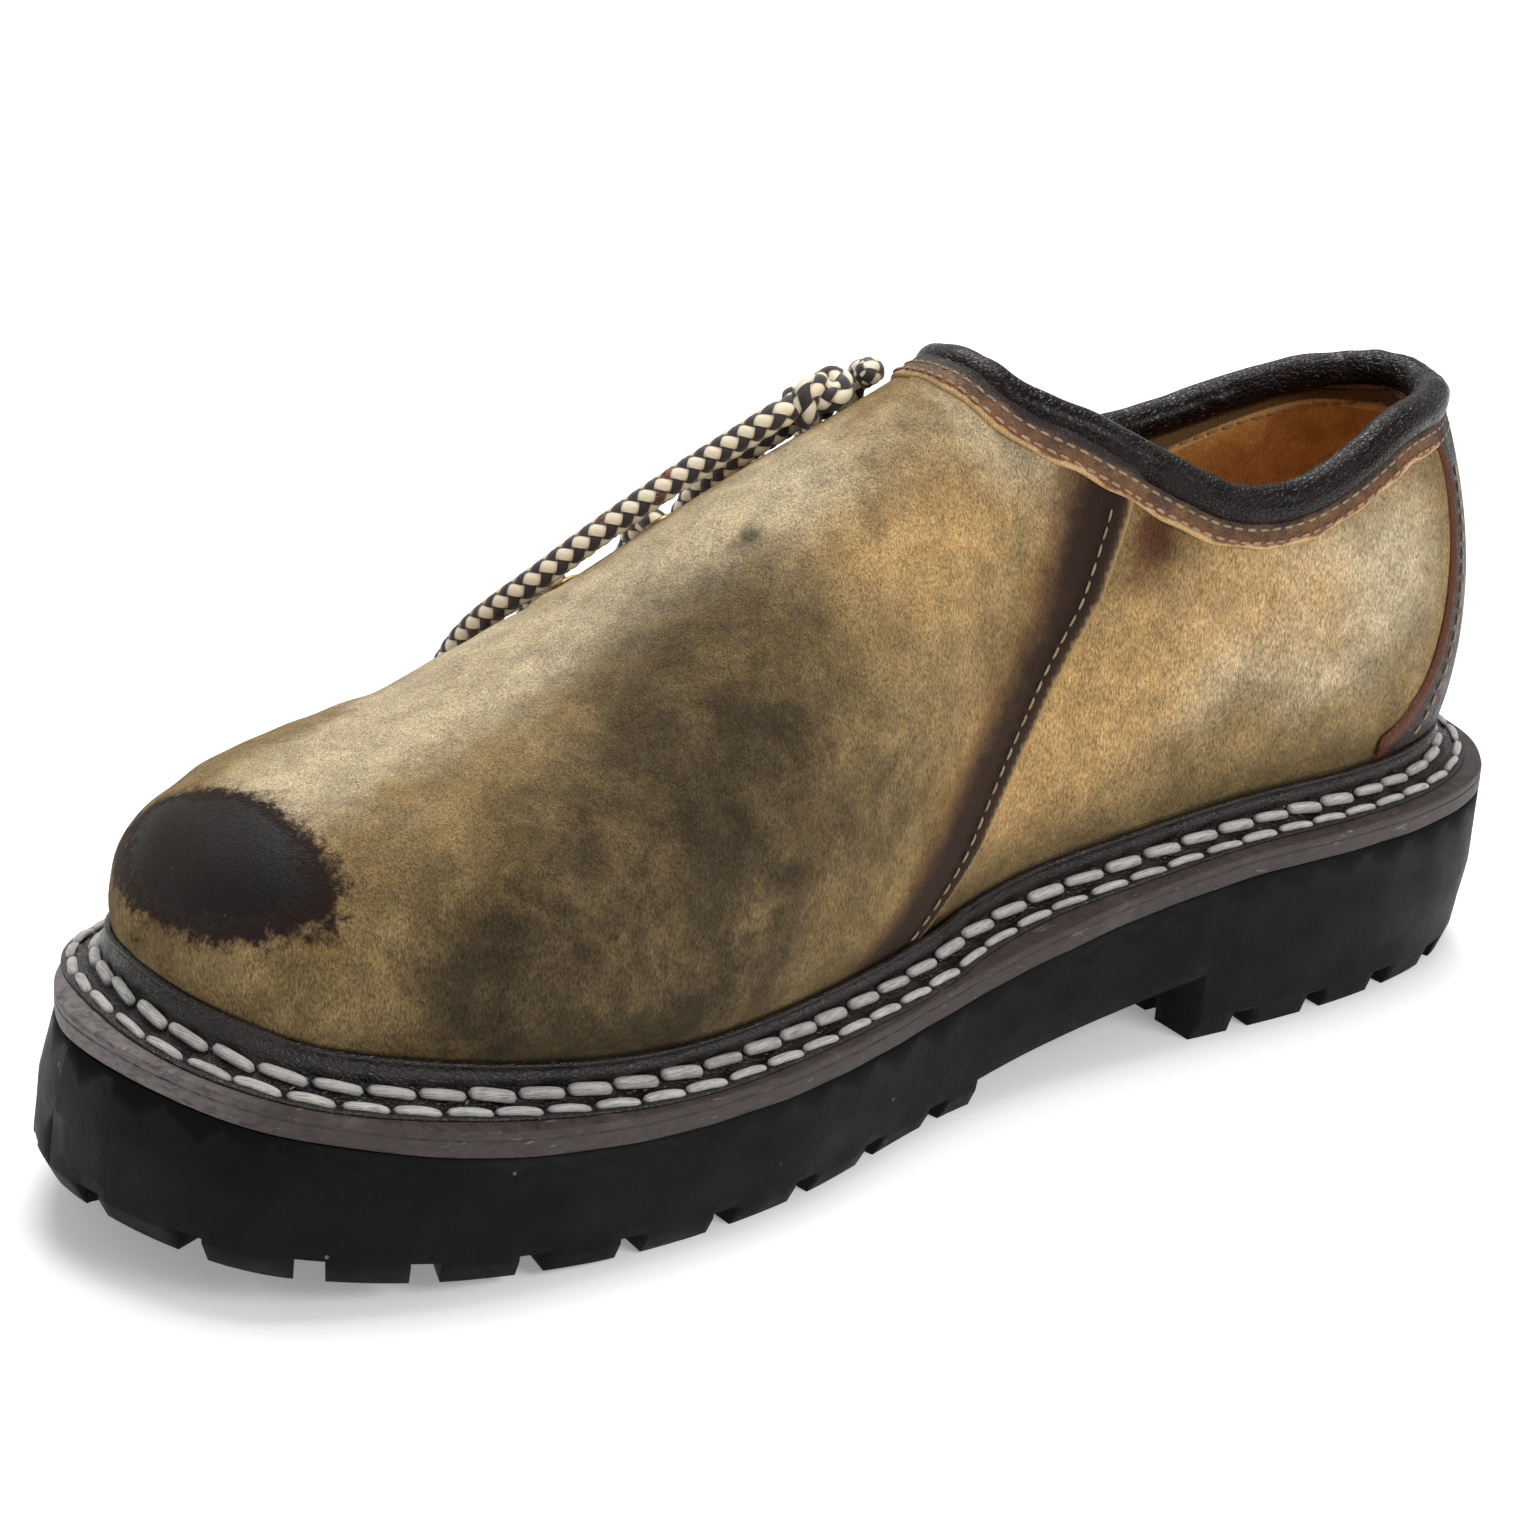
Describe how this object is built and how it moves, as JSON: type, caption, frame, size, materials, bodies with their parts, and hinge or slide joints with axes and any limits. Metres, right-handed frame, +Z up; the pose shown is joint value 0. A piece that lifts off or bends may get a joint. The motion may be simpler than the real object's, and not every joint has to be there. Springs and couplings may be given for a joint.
{
  "type": "haferl shoe",
  "caption": "Low suede haferl shoe for the right foot, laced on its outer side, with rolled collar, stitched welt and lugged rubber sole.",
  "frame": {"origin": "on the floor under the middle of the outsole box", "axes": "+Z up, toe towards -Y and heel towards +Y, inner side of the foot towards +X"},
  "size_m": [0.1102, 0.304, 0.1301],
  "materials": {
    "rubber": "matte, dusty",
    "midsole": "satin, scuffed",
    "welt": "satin",
    "suede": "suede nap",
    "strip": "satin",
    "binding": "glossy",
    "lining": "smooth",
    "brass": "aged",
    "lace": "round braid"
  },
  "bodies": {
    "root": {"outsole": "rubber", "midsole": "midsole", "welt": "welt", "upper": "suede", "heel_strip": "strip", "collar_binding": "binding", "tongue": "suede", "insole": "lining", "eyelet_inner_1": "brass", "eyelet_inner_2": "brass", "eyelet_inner_3": "brass", "eyelet_inner_4": "brass", "eyelet_outer_1": "brass", "eyelet_outer_2": "brass", "eyelet_outer_3": "brass", "eyelet_outer_4": "brass", "lace_bar_1": "lace", "lace_bar_2": "lace", "lace_bar_3": "lace", "lace_tie_inner": "lace", "lace_tie_outer": "lace", "lace_knot": "lace", "lace_end_front": "lace", "lace_end_side": "lace"}
  },
  "joints": []
}
